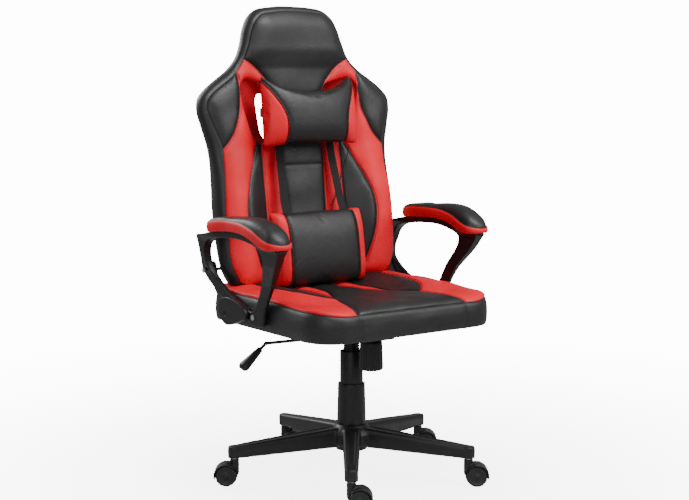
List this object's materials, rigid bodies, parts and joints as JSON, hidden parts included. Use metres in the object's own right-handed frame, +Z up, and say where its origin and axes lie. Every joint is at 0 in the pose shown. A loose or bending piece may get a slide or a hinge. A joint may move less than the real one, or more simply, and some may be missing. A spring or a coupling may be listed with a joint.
{
  "type": "gaming chair",
  "caption": "High-backed padded office gaming chair with shoulder wings, loop armrests, head and lumbar pillows, gas lift, tilt mechanism and a star base on twin-wheel casters.",
  "frame": {"origin": "point on the floor under the swivel column's axis", "axes": "+Z up, -Y the way the sitter faces, +X the sitter's left"},
  "size_m": [0.6668, 0.5991, 1.142],
  "materials": {
    "black_plastic": "satin moulded nylon",
    "wheel_plastic": "satin",
    "black_steel": "black powder coat",
    "steel": "zinc plated",
    "chrome": "polished rod",
    "nylon": "natural nylon",
    "plywood": "bare plywood",
    "black_leather": "semi-gloss PU leather with fine grain",
    "red_leather": "semi-gloss PU leather with fine grain",
    "webbing": "woven webbing"
  },
  "bodies": {
    "base": {"base_star": "black_plastic", "caster_stems": "steel", "column_tube": "black_steel", "tube_bushing": "nylon", "thrust_bearing": "steel", "cover_lower": "black_plastic"},
    "caster_1": {"caster_body_1": "black_plastic", "caster_axle_1": "steel"},
    "wheel_1a": {"wheel_1a": "wheel_plastic"},
    "wheel_1b": {"wheel_1b": "wheel_plastic"},
    "caster_2": {"caster_body_2": "black_plastic", "caster_axle_2": "steel"},
    "wheel_2a": {"wheel_2a": "wheel_plastic"},
    "wheel_2b": {"wheel_2b": "wheel_plastic"},
    "caster_3": {"caster_body_3": "black_plastic", "caster_axle_3": "steel"},
    "wheel_3a": {"wheel_3a": "wheel_plastic"},
    "wheel_3b": {"wheel_3b": "wheel_plastic"},
    "caster_4": {"caster_body_4": "black_plastic", "caster_axle_4": "steel"},
    "wheel_4a": {"wheel_4a": "wheel_plastic"},
    "wheel_4b": {"wheel_4b": "wheel_plastic"},
    "caster_5": {"caster_body_5": "black_plastic", "caster_axle_5": "steel"},
    "wheel_5a": {"wheel_5a": "wheel_plastic"},
    "wheel_5b": {"wheel_5b": "wheel_plastic"},
    "piston": {"piston_rod": "chrome", "lift_clip": "steel"},
    "cover_stage": {"cover_middle": "black_plastic"},
    "mechanism": {"gas_cylinder": "black_steel", "cover_upper": "black_plastic", "mech_housing": "black_steel", "tilt_pin": "steel", "tilt_spring": "steel"},
    "release": {"release_button": "steel"},
    "knob": {"tension_knob": "black_plastic", "tension_bolt": "steel"},
    "lever_pivot": {"lever_bush": "black_plastic"},
    "lever": {"lever_rod": "black_steel", "lever_handle": "black_plastic"},
    "seat": {"mech_plate": "black_steel", "seat_board": "plywood", "seat_cushion": "black_leather", "seat_bolts": "steel", "back_frame": "black_steel", "back_cushion": "black_leather", "bracket_left": "black_steel", "bracket_right": "black_steel", "bracket_cover_left": "black_plastic", "bracket_cover_right": "black_plastic", "bracket_bolts": "steel", "arm_bolts": "steel", "arm_frame_left": "black_plastic", "arm_frame_right": "black_plastic", "arm_pad_left": "red_leather", "arm_pad_right": "red_leather"},
    "head_pillow": {"head_pillow": "black_leather", "head_strap": "webbing"},
    "lumbar_pillow": {"lumbar_pillow": "black_leather", "lumbar_straps": "webbing"}
  },
  "joints": [
    {"name": "caster_1_swivel", "type": "hinge", "parent": "base", "child": "caster_1", "pos_m": [0, 0.2945, 0.055], "axis": [0, 0, 1], "continuous": true},
    {"name": "wheel_1a_spin", "type": "hinge", "parent": "caster_1", "child": "wheel_1a", "pos_m": [0.01618, 0.28274, 0.025], "axis": [0.5878, 0.809, 0], "continuous": true},
    {"name": "wheel_1b_spin", "type": "hinge", "parent": "caster_1", "child": "wheel_1b", "pos_m": [0.01618, 0.28274, 0.025], "axis": [0.5878, 0.809, 0], "continuous": true},
    {"name": "caster_2_swivel", "type": "hinge", "parent": "base", "child": "caster_2", "pos_m": [-0.28009, 0.09101, 0.055], "axis": [0, 0, 1], "continuous": true},
    {"name": "wheel_2a_spin", "type": "hinge", "parent": "caster_2", "child": "wheel_2a", "pos_m": [-0.29627, 0.10276, 0.025], "axis": [-0.5878, -0.809, 0], "continuous": true},
    {"name": "wheel_2b_spin", "type": "hinge", "parent": "caster_2", "child": "wheel_2b", "pos_m": [-0.29627, 0.10276, 0.025], "axis": [-0.5878, -0.809, 0], "continuous": true},
    {"name": "caster_3_swivel", "type": "hinge", "parent": "base", "child": "caster_3", "pos_m": [-0.1731, -0.23826, 0.055], "axis": [0, 0, 1], "continuous": true},
    {"name": "wheel_3a_spin", "type": "hinge", "parent": "caster_3", "child": "wheel_3a", "pos_m": [-0.15692, -0.25001, 0.025], "axis": [0.5878, 0.809, 0], "continuous": true},
    {"name": "wheel_3b_spin", "type": "hinge", "parent": "caster_3", "child": "wheel_3b", "pos_m": [-0.15692, -0.25001, 0.025], "axis": [0.5878, 0.809, 0], "continuous": true},
    {"name": "caster_4_swivel", "type": "hinge", "parent": "base", "child": "caster_4", "pos_m": [0.1731, -0.23826, 0.055], "axis": [0, 0, 1], "continuous": true},
    {"name": "wheel_4a_spin", "type": "hinge", "parent": "caster_4", "child": "wheel_4a", "pos_m": [0.18928, -0.25001, 0.025], "axis": [0.5878, 0.809, 0], "continuous": true},
    {"name": "wheel_4b_spin", "type": "hinge", "parent": "caster_4", "child": "wheel_4b", "pos_m": [0.18928, -0.25001, 0.025], "axis": [0.5878, 0.809, 0], "continuous": true},
    {"name": "caster_5_swivel", "type": "hinge", "parent": "base", "child": "caster_5", "pos_m": [0.28009, 0.09101, 0.055], "axis": [0, 0, 1], "continuous": true},
    {"name": "wheel_5a_spin", "type": "hinge", "parent": "caster_5", "child": "wheel_5a", "pos_m": [0.29627, 0.07925, 0.025], "axis": [0.5878, 0.809, 0], "continuous": true},
    {"name": "wheel_5b_spin", "type": "hinge", "parent": "caster_5", "child": "wheel_5b", "pos_m": [0.29627, 0.07925, 0.025], "axis": [0.5878, 0.809, 0], "continuous": true},
    {"name": "seat_swivel", "type": "hinge", "parent": "base", "child": "piston", "pos_m": [0, 0, 0.083], "axis": [0, 0, 1], "continuous": true},
    {"name": "seat_lift", "type": "slide", "parent": "piston", "child": "mechanism", "axis": [0, 0, 1], "range_m": [-0.025, 0.075]},
    {"name": "cover_slide", "type": "slide", "parent": "base", "child": "cover_stage", "axis": [0, 0, 1], "range_m": [-0.015, 0.045]},
    {"name": "tilt", "type": "hinge", "parent": "mechanism", "child": "seat", "pos_m": [0, -0.045, 0.362], "axis": [-1, 0, 0], "range_deg": [0, 10], "stiffness_Nm_per_rad": 80, "springref_deg": -28.65, "deforming": ["tilt_spring"]},
    {"name": "tension_turn", "type": "hinge", "parent": "mechanism", "child": "knob", "pos_m": [0, -0.08, 0.3], "axis": [0, 0, 1], "range_deg": [-720, 720]},
    {"name": "lever_lift", "type": "hinge", "parent": "mechanism", "child": "lever_pivot", "pos_m": [-0.034, 0, 0.352], "axis": [0, 1, 0], "range_deg": [0, 5], "stiffness_Nm_per_rad": 2, "springref_deg": -5.73},
    {"name": "lever_pull", "type": "slide", "parent": "lever_pivot", "child": "lever", "axis": [-1, 0, 0], "range_m": [0, 0.012]},
    {"name": "release_press", "type": "slide", "parent": "mechanism", "child": "release", "axis": [0, 0, 1], "range_m": [-0.003, 0]},
    {"name": "head_pillow_slide", "type": "slide", "parent": "seat", "child": "head_pillow", "axis": [0, 0.1392, 0.9903], "range_m": [-0.02, 0.03]},
    {"name": "lumbar_slide", "type": "slide", "parent": "seat", "child": "lumbar_pillow", "axis": [0, 0.1392, 0.9903], "range_m": [0, 0.03]}
  ],
  "couplings": [
    {"joint": "cover_slide", "follows": "seat_lift", "ratio": 0.6},
    {"joint": "release_press", "follows": "lever_lift", "m_per_rad": -0.034}
  ]
}
